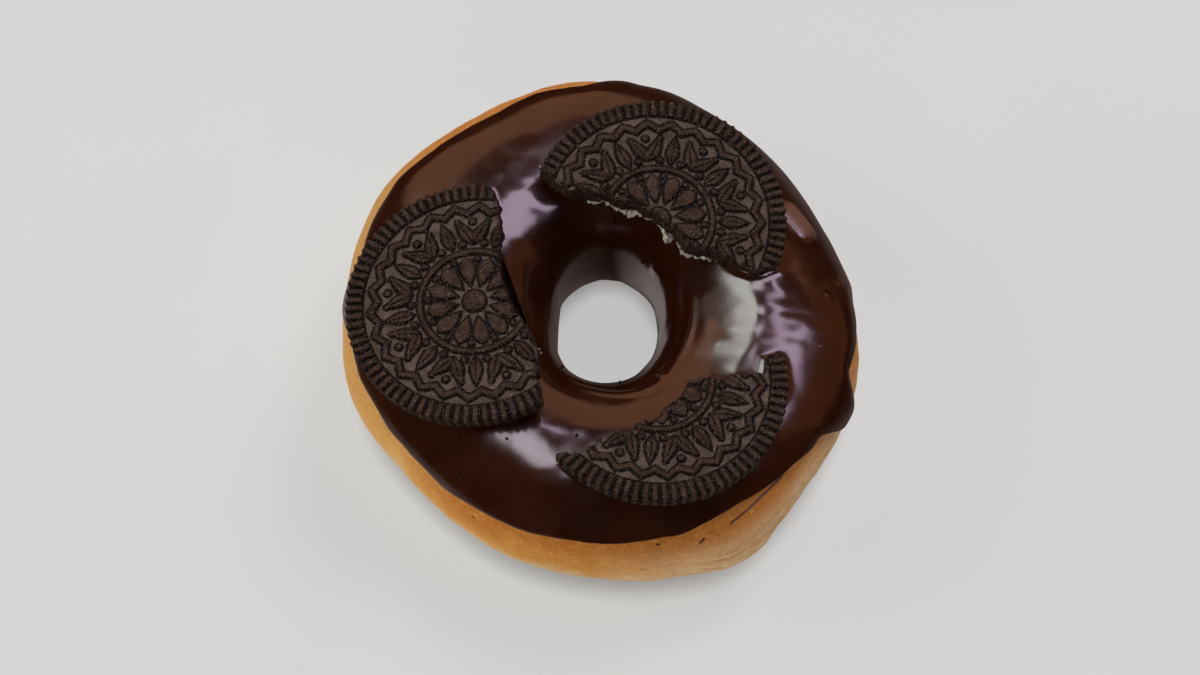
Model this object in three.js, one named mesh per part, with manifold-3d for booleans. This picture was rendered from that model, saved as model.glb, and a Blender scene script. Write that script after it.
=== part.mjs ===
// A cookies and cream ring doughnut: a raised dough ring lying on its flat underside, chocolate
// icing over its top and down into the hole, and three broken chocolate wafers lying on the icing.
// A wedge of cream filling clings to the underside of the wafer at the back.
// Millimetres, +Z up. The origin is on the ground, at the middle of the doughnut's footprint.
// +X is the right of the doughnut and +Y its back, for someone who stands at its front.

import * as THREE from 'three';
import { mergeVertices } from 'three/addons/utils/BufferGeometryUtils.js';
import Module from 'manifold-3d';

const wasm = await Module();
wasm.setup();

// The ring. A wave adds size * cos(lobes * (angle - peak)) to a radius, with angles in degrees.
const RING_CENTRE = { x: -0.08, y: -0.56 };
const RING_OUTLINE = {
  base: 45.36,
  waves: [
    { lobes: 1, size: 0.48, peak: -131 },
    { lobes: 2, size: 2.12, peak: -53 },
    { lobes: 3, size: 0.63, peak: -41 },
    { lobes: 4, size: 0.54, peak: 2 },
    { lobes: 5, size: 0.26, peak: 4 },
    { lobes: 7, size: 0.53, peak: -9 },
  ],
};
const HOLE_OUTLINE = {
  base: 11.9,
  waves: [
    { lobes: 1, size: 1.45, peak: -6 },
    { lobes: 2, size: 1.62, peak: 87 },
  ],
};
const BELLY_HEIGHT = 14.5;
const CREST_HEIGHT = 30.4;
const CREST_LEAN = { size: 1.4, peak: 125 };
const UNDERSIDE_DEPTH = BELLY_HEIGHT * 1.15;
const SECTION_POWER = 2.15;

// The icing. Its outer edge is a list of places round the ring: the angle in plan, and how far
// round the section the edge stands above the belly. The drip hangs at the lowest of them.
const JOINT_GAP = 0.35;
const ICING_THICKNESS = 1.25;
const ICING_LIP = 1.9;
const ICING_EDGE = [
  [0, 26], [9, 18], [20, 13], [48, 12], [67, 24], [82, 44], [95, 56], [122, 56], [136, 53],
  [150, 46], [166, 40], [180, 27], [190, 33], [203, 32], [216, 28], [230, 26], [257, 31],
  [270, 33], [285, 37], [300, 43], [313, 39], [326, 30], [338, 13], [348, 29],
];
const ICING_HOLE_EDGE = {
  base: 212,
  waves: [
    { lobes: 3, size: 4, peak: 20 },
    { lobes: 5, size: 2.5, peak: -30 },
  ],
};
const DRIP = { angle: 336.5, turn: 16, width: 3.6, height: 9, bulge: 0.2 };
const ICING_LUMPS = [
  { angle: 21, turn: 57, width: 4.2, height: 9, bulge: 1.5 },
  { angle: 11, turn: 32, width: 2.5, height: 5, bulge: 0.6 },
];

// The wafers, all broken from the same round shape. SINK is how deep the raised pattern is
// rooted in the body, and HOLLOW_MARGIN the room at a break in the hollow that a wafer presses.
const WAFER_RADIUS = 22.25;
const WAFER_THICKNESS = 3.4;
const RELIEF = 0.45;
const SINK = 0.35;
const HOLLOW_MARGIN = 0.6;
const RIM = { ridges: 84, inner: 19.3, width: 0.95, proud: 0.3, depth: 1.2 };
const ZIGZAG = { teeth: 26, radius: 17.2, swing: 0.65, width: 0.9 };
const LEAVES = { sprays: 9, radius: 12.9, length: 5.0, width: 1.9, slant: 34, spread: 1.35 };
const PLAIN_RING = { radius: 9.3, width: 0.8, steps: 28 };
const PETALS = { count: 12, inner: 3.1, shoulder: 6.6, outer: 8.2, width: 2.6 };
const BUTTON = { radius: 1.9, steps: 10 };

// Where each wafer lies: the middle of its top rim, its fall towards +X and towards +Y in degrees,
// the turn of its pattern, the side of the break that is left, and the break line across it.
const WAFERS = {
  wafer_left: {
    centre: [-21.33, -5.56, 36.65],
    fall: [-5.5, -1],
    spin: 12,
    keeps: 184,
    breakLine: [
      [2, 22.4], [4.2, 17.7], [4.2, 11.5], [4.3, 5.4], [5.6, 0.7], [8.3, -4.1], [10.2, -7.1],
      [10.8, -9], [10.8, -13.4], [11.9, -19.6],
    ],
  },
  wafer_upper: {
    centre: [10.07, 10.09, 36.8],
    fall: [5.5, -4],
    spin: -21,
    keeps: 62,
    breakLine: [
      [-20.9, 8.6], [-18.3, 6.4], [-15.7, 4.3], [-9.2, 4.3], [-7.5, 3], [-3.8, 2.5], [0.2, 0.4],
      [2.9, -1.9], [4.1, -4.6], [8.7, -5.7], [13, -7.3], [16.5, -9.2], [18.4, -9.1], [21, -7.6],
    ],
  },
  wafer_lower: {
    centre: [9.57, -19.31, 34.9],
    fall: [3, 2],
    spin: 5,
    keeps: 303,
    breakLine: [
      [-17.6, -14.6], [-16.3, -13.8], [-11.6, -12.8], [-7.7, -9.9], [-4.3, -9.1], [-3.8, -8],
      [0, -6.6], [3.4, -3.2], [5.5, 0.2], [9.2, 1], [11, 0.5], [14.8, 1.7], [17.8, 1.8],
      [18.7, 5.2], [20.8, 6], [23.2, 5.2],
    ],
  },
};

// The cream under the wafer at the back, which shows along the break.
const CREAM = {
  wafer: 'wafer_upper', radius: 12.6, thickness: 1.9, proud: [-0.35, -0.75], steps: 36,
};
const CREAM_WAVES = [
  { lobes: 3, size: 0.8, peak: 10 },
  { lobes: 7, size: 0.4, peak: 4 },
];

const ANGLE_STEPS = 72;
const STEP_CROWDING = 0.35;
const DOUGH_ROWS = 17;
const ICING_ROWS = 10;
const ICING_INNER_ROWS = 12;
const HOLLOW_STEPS = 40;

const radians = THREE.MathUtils.degToRad;

function waveSum(waves, angle) {
  let sum = 0;
  for (const { lobes, size, peak } of waves) {
    sum += size * Math.cos(lobes * (angle - radians(peak)));
  }
  return sum;
}

function outline({ base, waves }, angle) {
  return base + waveSum(waves, angle);
}

// A smooth closed curve through a list of [degrees, value] places.
function smoothRound(places, angle) {
  const degrees = THREE.MathUtils.euclideanModulo(THREE.MathUtils.radToDeg(angle), 360);
  const count = places.length;
  let next = places.findIndex(([place]) => place > degrees);
  if (next < 0) {
    next = count;
  }
  const at = (index) => {
    const lap = Math.floor(index / count);
    const [place, value] = places[index - lap * count];
    return [place + lap * 360, value];
  };
  const [startPlace, startValue] = at(next - 1);
  const [endPlace, endValue] = at(next);
  const share = (degrees - startPlace) / (endPlace - startPlace);
  return THREE.MathUtils.lerp(startValue, endValue, THREE.MathUtils.smoothstep(share, 0, 1));
}

// A point of the ring's skin. angle goes round the plan, and turn round the section: 0 is the
// outer belly, a quarter turn the crest, and half a turn the belly inside the hole.
function ringPoint(angle, turn, lift) {
  const outer = outline(RING_OUTLINE, angle);
  const hole = outline(HOLE_OUTLINE, angle);
  const middle = (outer + hole) / 2;
  const halfWidth = (outer - hole) / 2;
  const crest = CREST_HEIGHT + CREST_LEAN.size * Math.cos(angle - radians(CREST_LEAN.peak));
  const across = Math.cos(turn);
  const up = Math.sin(turn);
  const reach = up > 0 ? crest - BELLY_HEIGHT : UNDERSIDE_DEPTH;
  const power = 2 / SECTION_POWER;
  const sideways = Math.sign(across) * Math.abs(across) ** power;
  const upward = Math.sign(up) * Math.abs(up) ** power;
  const normal = new THREE.Vector2(
    Math.sign(across) * Math.abs(sideways) ** (SECTION_POWER - 1) / halfWidth,
    Math.sign(up) * Math.abs(upward) ** (SECTION_POWER - 1) / reach,
  ).normalize();
  const radius = middle + halfWidth * sideways + lift * normal.x;
  const height = BELLY_HEIGHT + reach * upward + lift * normal.y;
  return new THREE.Vector3(
    RING_CENTRE.x + radius * Math.cos(angle),
    RING_CENTRE.y + radius * Math.sin(angle),
    height,
  );
}

// Skins a closed tube whose section loops are given one after another round the ring.
function ringSkin(loops) {
  const count = loops[0].length;
  const positions = [];
  const indices = [];
  loops.forEach((loop, column) => {
    const here = column * count;
    const beside = ((column + 1) % loops.length) * count;
    loop.forEach((point, row) => {
      const next = (row + 1) % count;
      positions.push(point.x, point.y, point.z);
      indices.push(here + row, beside + row, beside + next);
      indices.push(here + row, beside + next, here + next);
    });
  });
  const geometry = new THREE.BufferGeometry();
  geometry.setAttribute('position', new THREE.Float32BufferAttribute(positions, 3));
  geometry.setIndex(indices);
  return geometry;
}

// Section loops round the ring, each made by sectionAt(angle), and closer together by the drip.
function ringLoops(sectionAt) {
  const loops = [];
  for (let step = 0; step < ANGLE_STEPS; step += 1) {
    const fromDrip = (step * 2 * Math.PI) / ANGLE_STEPS;
    const crowded = fromDrip - STEP_CROWDING * Math.sin(fromDrip);
    loops.push(sectionAt(radians(DRIP.angle) + crowded));
  }
  return loops;
}

// The whole ring below a skin that is lifted off the dough, cut flat where it lies.
function ringBody(lift) {
  const flatShare = (BELLY_HEIGHT / UNDERSIDE_DEPTH) ** (SECTION_POWER / 2);
  const flatTurn = -Math.asin(flatShare);
  return ringSkin(ringLoops((angle) => {
    const section = [];
    for (let row = 0; row <= DOUGH_ROWS; row += 1) {
      const turn = THREE.MathUtils.lerp(flatTurn, Math.PI - flatTurn, row / DOUGH_ROWS);
      const point = ringPoint(angle, turn, lift);
      const atEdge = row === 0 || row === DOUGH_ROWS;
      point.z = atEdge ? 0 : point.z;
      section.push(point);
    }
    return section;
  }));
}

// How much a lump adds to the icing at a place on the ring.
function lumpHeight({ angle, turn, width, height, bulge }, atAngle, atTurn) {
  const round = THREE.MathUtils.radToDeg(atAngle) - angle;
  const aside = (THREE.MathUtils.euclideanModulo(round + 180, 360) - 180) / width;
  const above = (THREE.MathUtils.radToDeg(atTurn) - turn) / height;
  return bulge * Math.exp(-aside * aside - above * above);
}

// The icing's height over the dough, rounded off to nothing at either edge.
function icingHeight(angle, turn, edgeDistance) {
  let height = ICING_THICKNESS;
  for (const lump of [DRIP, ...ICING_LUMPS]) {
    height += lumpHeight(lump, angle, turn);
  }
  const inward = Math.min(edgeDistance / ICING_LIP, 1);
  return height * Math.sqrt(1 - (1 - inward) ** 2);
}

// One section of the icing: out over the top from edge to edge, and back along the dough.
function icingSection(angle) {
  const start = radians(smoothRound(ICING_EDGE, angle));
  const end = radians(outline(ICING_HOLE_EDGE, angle));
  const sectionRadius = CREST_HEIGHT - BELLY_HEIGHT;
  const lipShares = [0, 0.2, 0.55];
  const lipTurn = ICING_LIP / sectionRadius;
  const turns = lipShares.map((share) => start + share * lipTurn);
  for (let row = 0; row <= ICING_ROWS; row += 1) {
    turns.push(THREE.MathUtils.lerp(start + lipTurn, end - lipTurn, row / ICING_ROWS));
  }
  turns.push(...lipShares.map((share) => end - share * lipTurn).reverse());
  const section = turns.map((turn) => {
    const edgeDistance = Math.min(turn - start, end - turn) * sectionRadius;
    return ringPoint(angle, turn, JOINT_GAP + icingHeight(angle, turn, edgeDistance));
  });
  for (let row = 1; row < ICING_INNER_ROWS; row += 1) {
    const turn = THREE.MathUtils.lerp(end, start, row / ICING_INNER_ROWS);
    section.push(ringPoint(angle, turn, JOINT_GAP));
  }
  return section;
}

// A closed geometry as a solid that can be joined and cut.
function solidOf(geometry) {
  const plain = geometry.clone();
  plain.deleteAttribute('normal');
  plain.deleteAttribute('uv');
  const merged = mergeVertices(plain, 1e-4);
  return new wasm.Manifold(new wasm.Mesh({
    numProp: 3,
    vertProperties: new Float32Array(merged.attributes.position.array),
    triVerts: new Uint32Array(merged.index.array),
  }));
}

function geometryOf(solid) {
  const { vertProperties, triVerts } = solid.getMesh();
  const geometry = new THREE.BufferGeometry();
  geometry.setAttribute('position', new THREE.Float32BufferAttribute(vertProperties, 3));
  geometry.setIndex(Array.from(triVerts));
  geometry.computeVertexNormals();
  return geometry;
}

// A flat outline, and any hole in it, raised between two heights.
function prism(points, bottom, top, hole = null) {
  const shape = new THREE.Shape(points);
  if (hole) {
    shape.holes.push(new THREE.Path(hole));
  }
  const geometry = new THREE.ExtrudeGeometry(shape, { depth: top - bottom, bevelEnabled: false });
  return geometry.translate(0, 0, bottom);
}

function circlePoints(radius, steps, radiusAt = () => radius) {
  const points = [];
  for (let step = 0; step < steps; step += 1) {
    const angle = (step * 2 * Math.PI) / steps;
    const reach = radiusAt(angle, step);
    points.push(new THREE.Vector2(reach * Math.cos(angle), reach * Math.sin(angle)));
  }
  return points;
}

// Copies of a geometry, each turned to its own angle about the wafer's middle.
function aroundMiddle(geometry, count, firstAngle = 0) {
  const copies = [];
  for (let step = 0; step < count; step += 1) {
    copies.push(geometry.clone().rotateZ(firstAngle + (step * 2 * Math.PI) / count));
  }
  return copies;
}

const RELIEF_BOTTOM = WAFER_THICKNESS - SINK;
const RELIEF_TOP = WAFER_THICKNESS + RELIEF;

function rimRidges() {
  const length = WAFER_RADIUS - RIM.inner;
  const ridge = new THREE.BoxGeometry(length, RIM.width, RIM.depth);
  ridge.translate(RIM.inner + length / 2, 0, RELIEF_TOP - RIM.depth / 2);
  return aroundMiddle(ridge, RIM.ridges, Math.PI / RIM.ridges);
}

// A raised band that swings in and out between the rim and the leaves.
function zigzagBand() {
  const steps = ZIGZAG.teeth * 2;
  const edge = (side) => circlePoints(ZIGZAG.radius, steps, (angle, step) => {
    const swing = step % 2 ? ZIGZAG.swing : -ZIGZAG.swing;
    return ZIGZAG.radius + swing + (side * ZIGZAG.width) / 2;
  });
  return prism(edge(1), RELIEF_BOTTOM, RELIEF_TOP, edge(-1));
}

// A wreath of almond leaves: pairs that lean apart, with a straight leaf between the pairs.
function wreathLeaves() {
  const half = LEAVES.length / 2;
  const side = LEAVES.width / 2;
  const widest = -half / 5;
  const almond = [
    new THREE.Vector2(-half, 0),
    new THREE.Vector2(widest, -side),
    new THREE.Vector2(half, 0),
    new THREE.Vector2(widest, side),
  ];
  const leaf = prism(almond, RELIEF_BOTTOM, RELIEF_TOP);
  const leaves = [];
  for (const lean of [-1, 1]) {
    const copy = leaf.clone().rotateZ(radians(lean * LEAVES.slant));
    copy.translate(LEAVES.radius, lean * LEAVES.spread, 0);
    leaves.push(...aroundMiddle(copy, LEAVES.sprays));
  }
  const between = leaf.clone().translate(LEAVES.radius, 0, 0);
  leaves.push(...aroundMiddle(between, LEAVES.sprays, Math.PI / LEAVES.sprays));
  return leaves;
}

function plainRing() {
  const outer = circlePoints(PLAIN_RING.radius + PLAIN_RING.width / 2, PLAIN_RING.steps);
  const inner = circlePoints(PLAIN_RING.radius - PLAIN_RING.width / 2, PLAIN_RING.steps);
  return prism(outer, RELIEF_BOTTOM, RELIEF_TOP, inner);
}

function rosettePetals() {
  const side = PETALS.width / 2;
  const petal = [
    new THREE.Vector2(PETALS.inner, 0),
    new THREE.Vector2(PETALS.shoulder, -side),
    new THREE.Vector2(PETALS.outer, 0),
    new THREE.Vector2(PETALS.shoulder, side),
  ];
  return aroundMiddle(prism(petal, RELIEF_BOTTOM, RELIEF_TOP), PETALS.count);
}

// The unbroken wafer, with its underside at height 0 and its middle on the Z axis.
function wholeWafer() {
  const body = prism(circlePoints(WAFER_RADIUS - RIM.proud, RIM.ridges), 0, WAFER_THICKNESS);
  const button = prism(circlePoints(BUTTON.radius, BUTTON.steps), RELIEF_BOTTOM, RELIEF_TOP);
  const raised = [
    ...rimRidges(), zigzagBand(), ...wreathLeaves(), plainRing(), ...rosettePetals(), button,
  ];
  let solid = solidOf(body);
  for (const geometry of raised) {
    solid = solid.add(solidOf(geometry));
  }
  return solid;
}

// The side of a break line that is left, as a tall prism, moved sideways by a margin.
function keptSide({ breakLine, keeps }, margin = [0, 0]) {
  const far = WAFER_RADIUS * 2;
  const points = breakLine.map(([x, y]) => new THREE.Vector2(x + margin[0], y + margin[1]));
  const first = points[0];
  const last = points[points.length - 1];
  const middle = radians(keeps);
  const outward = new THREE.Vector2(far * Math.cos(middle), far * Math.sin(middle));
  const corners = [
    last.clone().setLength(far),
    last.clone().setLength(far).add(outward),
    first.clone().setLength(far).add(outward),
    first.clone().setLength(far),
  ];
  const sides = [...points, ...corners];
  if (THREE.ShapeUtils.isClockWise(sides)) {
    sides.reverse();
  }
  return prism(sides, -WAFER_THICKNESS, WAFER_THICKNESS * 2);
}

// The frame of a wafer as it lies, with the middle of its top rim at its centre.
function waferPlace({ centre, fall }) {
  const normal = new THREE.Vector3(
    Math.tan(radians(fall[0])),
    Math.tan(radians(fall[1])),
    1,
  ).normalize();
  const rightward = new THREE.Vector3(0, 1, 0).cross(normal).normalize();
  const backward = normal.clone().cross(rightward);
  return new THREE.Matrix4()
    .makeBasis(rightward, backward, normal)
    .setPosition(...centre)
    .multiply(new THREE.Matrix4().makeTranslation(0, 0, -RELIEF_TOP));
}

function waferPiece(whole, wafer) {
  const turned = geometryOf(whole).rotateZ(radians(wafer.spin));
  return solidOf(turned).intersect(solidOf(keptSide(wafer)));
}

// The hollow that a wafer presses into the icing, a gap wider than the wafer all round.
function waferHollow(wafer) {
  const radius = WAFER_RADIUS + JOINT_GAP;
  const disc = prism(circlePoints(radius, HOLLOW_STEPS), -JOINT_GAP, WAFER_THICKNESS * 2);
  const away = radians(wafer.keeps + 180);
  const margin = [Math.cos(away) * HOLLOW_MARGIN, Math.sin(away) * HOLLOW_MARGIN];
  const hollow = solidOf(disc).intersect(solidOf(keptSide(wafer, margin)));
  return solidOf(geometryOf(hollow).applyMatrix4(waferPlace(wafer)));
}

// The cream fills the wedge between the wafer's underside and the icing.
function creamWedge() {
  const wafer = WAFERS[CREAM.wafer];
  const edge = (angle) => CREAM.radius + waveSum(CREAM_WAVES, angle);
  const slab = prism(
    circlePoints(CREAM.radius, CREAM.steps, edge),
    -JOINT_GAP - CREAM.thickness,
    -JOINT_GAP,
  );
  const broken = solidOf(slab).intersect(solidOf(keptSide(wafer, CREAM.proud)));
  const placed = solidOf(geometryOf(broken).applyMatrix4(waferPlace(wafer)));
  const icingTop = JOINT_GAP + ICING_THICKNESS;
  return placed.subtract(solidOf(ringBody(icingTop + JOINT_GAP)));
}

function makeMesh(name, geometry, colour, roughness) {
  const material = new THREE.MeshStandardMaterial({ color: colour, roughness, metalness: 0 });
  const mesh = new THREE.Mesh(geometry, material);
  mesh.name = name;
  return mesh;
}

function makeIcing() {
  let icing = solidOf(ringSkin(ringLoops(icingSection)));
  for (const wafer of Object.values(WAFERS)) {
    icing = icing.subtract(waferHollow(wafer));
  }
  return makeMesh('icing', geometryOf(icing), 0x38180c, 0.18);
}

function makeWafers() {
  const whole = wholeWafer();
  return Object.entries(WAFERS).map(([name, wafer]) => {
    const mesh = makeMesh(name, geometryOf(waferPiece(whole, wafer)), 0x3a2a24, 0.75);
    waferPlace(wafer).decompose(mesh.position, mesh.quaternion, mesh.scale);
    return mesh;
  });
}

const doughnut = new THREE.Group();
doughnut.add(makeMesh('dough', ringBody(0), 0xc98a4c, 0.65));
doughnut.add(makeIcing());
doughnut.add(...makeWafers());
doughnut.add(makeMesh('cream_upper', geometryOf(creamWedge()), 0xe9e2d4, 0.6));

export default doughnut;
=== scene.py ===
# The looks of a cookies and cream ring doughnut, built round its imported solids.
# Shapes are worked out in millimetres in the part's own frame and become metres in add_mesh.
# +Z is up, +X the right of the doughnut and +Y its back.

import itertools
import math

import bmesh
import bpy
import numpy as np
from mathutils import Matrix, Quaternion, Vector


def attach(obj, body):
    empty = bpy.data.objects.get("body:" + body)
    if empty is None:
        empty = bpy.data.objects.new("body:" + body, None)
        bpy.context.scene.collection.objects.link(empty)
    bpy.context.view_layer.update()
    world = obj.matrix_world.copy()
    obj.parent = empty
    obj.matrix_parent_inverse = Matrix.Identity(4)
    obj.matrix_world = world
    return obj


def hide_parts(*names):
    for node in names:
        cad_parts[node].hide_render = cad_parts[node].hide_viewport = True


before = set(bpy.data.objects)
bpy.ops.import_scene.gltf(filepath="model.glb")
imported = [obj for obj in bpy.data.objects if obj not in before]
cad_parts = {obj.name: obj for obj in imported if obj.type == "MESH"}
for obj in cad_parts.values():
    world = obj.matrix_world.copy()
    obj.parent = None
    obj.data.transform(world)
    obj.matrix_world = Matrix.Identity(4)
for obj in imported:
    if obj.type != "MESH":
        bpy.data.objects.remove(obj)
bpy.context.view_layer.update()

MM = 0.001
SEED = 20975

# The ring, with the same values as its solids. A wave is (lobes, size, peak in degrees).
RING_CENTRE = (-0.08, -0.56)
RING_BASE = 45.36
RING_WAVES = (
    (1, 0.48, -131), (2, 2.12, -53), (3, 0.63, -41), (4, 0.54, 2), (5, 0.26, 4), (7, 0.53, -9),
)
HOLE_BASE = 11.9
HOLE_WAVES = ((1, 1.45, -6), (2, 1.62, 87))
BELLY_HEIGHT = 14.5
CREST_HEIGHT = 30.4
CREST_LEAN = 1.4
CREST_LEAN_PEAK = 125
UNDERSIDE_DEPTH = BELLY_HEIGHT * 1.15
SECTION_POWER = 2.15

# The dough's skin stays a little inside the solid, apart from where the icing lies on it.
DOUGH_COLUMNS = 640
# Rows of the crust up to its outer side, on that side, and from there over to the hole. The
# side lies between these turns in degrees, and its rows are closer.
DOUGH_ROWS = (40, 60, 70)
DOUGH_SIDE = (10, 45)
UNDERSIDE_ROWS = 14
DOUGH_INSET = 0.28
# Layers of lumps, here and below, are (depth, size) in mm, and a slope is (none, full).
DOUGH_RELIEF = ((0.2, 11), (0.1, 4), (0.05, 1.4))
# A lump is (angle, turn, width, height, bulge): degrees, degrees, degrees, degrees and mm.
DOUGH_LUMPS = (
    (299, -12, 7, 28, 0.8), (288.5, -5, 5, 25, -0.7), (320.5, 5, 6, 25, -0.6), (214, 5, 6, 25, -0.7),
    (306, -20, 4, 12, 0.5), (231, -4, 6, 25, 0.4),
)

# Thin slits and small pits in the crust, as lines through (angle, turn) places. They are sunk in, and
# painted dark as painted shade.
SCARS = (
    ((299, 32.5), (303, 34.5), (307, 36), (314.5, 35)),
    ((291.5, 26), (292.5, 28.5)),
    ((282.5, 30.5), (282.9, 30.5)),
    ((240, 15.5), (240.4, 15.9)),
    ((244, 29), (244.3, 29.2)),
)
SCAR_WIDTH = 0.3
SCAR_DEPTH = 0.3
NO_SCAR = 10.0

# Where the crust is wrinkled and where it is fair, as slopes in degrees, but radians for a turn.
# A layer of wrinkles is (depth, stretch round the ring, size).
WRINKLED = ((262, 300), (357, 325))
WRINKLED_TURN = (0.55, 0.15)
WRINKLES = ((1.0, 0.22, 1.3), (0.5, 0.3, 0.7))
WRINKLE_DEPTH = 0.16
FAINT_WRINKLE_DEPTH = 0.03
FAIR = ((128, 165), (240, 205))
# The crust's relief ends over these turns past the icing's edge, in radians.
COVERED = (-0.02, 0.12)

# The icing. Its outer edge is a list of (angle, turn) places in degrees.
ICING_COLUMNS = 620
LIP_ROWS = 9
ICING_ROWS = 118
ICING_INNER_ROWS = 10
ICING_TOP = 1.6
ICING_SUNK = -0.8
LIP_REACH = 0.75
SWELL_REACH = 3.0
SECTION_RADIUS = CREST_HEIGHT - BELLY_HEIGHT
# The icing's share of its thickness beside its lip, and how its edge wanders, in radians.
EDGE_SHARE = 0.85
EDGE_WANDER = ((0.022, 7), (0.009, 3))
ICING_RELIEF = ((0.2, 13), (0.09, 6), (0.03, 3))
ICING_EDGE = (
    (0, 28), (9, 17), (20, 13), (48, 12), (67, 24), (82, 44), (95, 57), (108, 55), (122, 56),
    (136, 53), (150, 46), (166, 40), (180, 25), (190, 33), (203, 32), (216, 28), (230, 26),
    (244, 29), (257, 31), (270, 33), (285, 37), (300, 43), (313, 39), (326, 31), (334.5, 13),
    (337.5, 13), (344, 32), (353, 30),
)
ICING_HOLE_EDGE = 212
ICING_HOLE_WAVES = ((3, 4, 20), (5, 2.5, -30))
DRIP = (336.5, 16, 3.6, 9, 0.2)
# Where the icing is rippled: (angle, turn, reach, depth).
RIPPLED = ((350, 82, 13, 0.09), (125, 112, 16, 0.07), (252, 88, 12, 0.06))
RIPPLE = {"tall": 1.6, "stretch": (0.5, 1, 1), "size": 2.3}
SMALL_LUMPS = (
    (352, 90, 26, 13, 0.6), (120, 134, 16, 14, 0.7),
    (5, 42, 0.9, 2.2, 0.5), (359.5, 54.5, 0.7, 1.6, 0.35), (305.5, 131.5, 2.2, 2.6, 0.45),
    (38.5, 153.5, 6.0, 6.5, 0.7), (19, 137.5, 3.5, 2.0, 0.35),
)
# The finger of icing beside the wafer at the back: where it starts and ends, as (angle, turn).
FINGER_ENDS = ((25.5, 56.0), (19.5, 52.0))
FINGER_RADIUS = 2.7
FINGER_BULGE = 1.15
FINGER_POWER = 1.5
# The finger's nearness at which its painted glow is full.
FINGER_GLOW_REACH = 0.75
# The crease round the hole, from one angle to another, where the icing turns steeply down.
CREASE = {
    "start": 235, "end": 385, "fade": 40, "turn": 130, "lobes": 3, "sway": 2.5,
    "width": 3.0, "height": 0.24, "groove_at": 7, "groove_share": 0.6,
}
HOLE_FOLDS = {"radius": 9, "stretch": 2.5, "size": 2.6, "depth": 0.1, "turns": (142, 160)}
# The icing's climb up a wafer's edge. It fades between these levels above the underside.
MENISCUS = {"rise": 0.5, "reach": 0.5, "levels": (-0.9, 0.2), "margin": 3}

# The wafers, with the same values as their solids.
WAFER_RADIUS = 22.25
WAFER_THICKNESS = 3.4
RELIEF = 0.45
RELIEF_TOP = WAFER_THICKNESS + RELIEF
RIM_RIDGES = 84
RIM_INNER = 19.3
RIDGE_WIDTH = 0.95
RIDGE_PROUD = 0.3
RIDGE_FLANK = (-0.35, 0.4)
ALMOND_POWER = 1.7
ALMOND_SLOPE = 0.85
ZIGZAG = {"teeth": 26, "radius": 17.2, "swing": 0.65, "width": 0.9, "slope": 0.84}
LEAVES = {"sprays": 9, "radius": 12.9, "length": 5.0, "width": 1.9, "slant": 34, "spread": 1.35}
VEIN = {"half_width": 0.16, "rise": 0.1, "end": 0.6}
PLAIN_RING = {"radius": 9.3, "width": 0.8}
PETALS = {"count": 12, "inner": 3.1, "shoulder": 6.6, "outer": 8.2, "width": 2.6}
BUTTON_RADIUS = 1.9
# Rings of dots: (radius, how many, angle of the first in degrees, size).
DOTS = ((15.0, 9, 0, 0.5), (15.0, 18, 10, 0.36), (10.9, 18, 10, 0.5), (7.9, 12, 15, 0.42))
WAFER_GRID = 0.14
WAFERS = {
    "wafer_left": {
        "centre": (-21.33, -5.56, 36.65),
        "fall": (-5.5, -1),
        "spin": 12,
        "keeps": 184,
        "break_line": (
            (2, 22.4), (4.2, 17.7), (4.2, 11.5), (4.3, 5.4), (5.6, 0.7), (8.3, -4.1),
            (10.2, -7.1), (10.8, -9), (10.8, -13.4), (11.9, -19.6),
        ),
    },
    "wafer_upper": {
        "centre": (10.07, 10.09, 36.8),
        "fall": (5.5, -4),
        "spin": -21,
        "keeps": 62,
        "break_line": (
            (-20.9, 8.6), (-18.3, 6.4), (-15.7, 4.3), (-9.2, 4.3), (-7.5, 3), (-3.8, 2.5),
            (0.2, 0.4), (2.9, -1.9), (4.1, -4.6), (8.7, -5.7), (13, -7.3), (16.5, -9.2),
            (18.4, -9.1), (21, -7.6),
        ),
    },
    "wafer_lower": {
        "centre": (9.57, -19.31, 34.9),
        "fall": (3, 2),
        "spin": 5,
        "keeps": 303,
        "break_line": (
            (-17.6, -14.6), (-16.3, -13.8), (-11.6, -12.8), (-7.7, -9.9), (-4.3, -9.1),
            (-3.8, -8), (0, -6.6), (3.4, -3.2), (5.5, 0.2), (9.2, 1), (11, 0.5), (14.8, 1.7),
            (17.8, 1.8), (18.7, 5.2), (20.8, 6), (23.2, 5.2),
        ),
    },
}

# The cream under the wafer at the back.
CREAM_WAFER = "wafer_upper"
CREAM_RADIUS = 12.6
CREAM_WAVES = ((3, 0.8, 10), (7, 0.4, 4))
CREAM_THICKNESS = 1.9
CREAM_GRID = 0.16
# Where the cream shows past the break: (along X of the wafer, half width, how far) in mm.
CREAM_SHOWS = ((-4.7, 1.4, 0.8), (2.0, 0.8, 1.15), (6.3, 2.2, 0.2))
CREAM_SET_BACK = 0.55
CREAM_EDGE = ((0.5, 1.2), (0.42, 0.45))
CREAM_PAST = (-0.2, -0.6)
CREAM_RISE = 1.1
CREAM_LUMPS = ((0.35, 0.8), (0.2, 0.35))
CREAM_GAP = 0.05
CREAM_DIP = 0.15
CREAM_ROWS = 5
CREAM_WALL_LUMPS = ((0.25, 0.6),)
CREAM_WALL_BULGE = 0.15

# Levels of the noise, so that each use has lumps of its own.
JAG_LEVEL = 40.0
FACE_LEVEL = 17.0
CREAM_EDGE_LEVEL = 5.0
CREAM_TOP_LEVEL = 9.0


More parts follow.
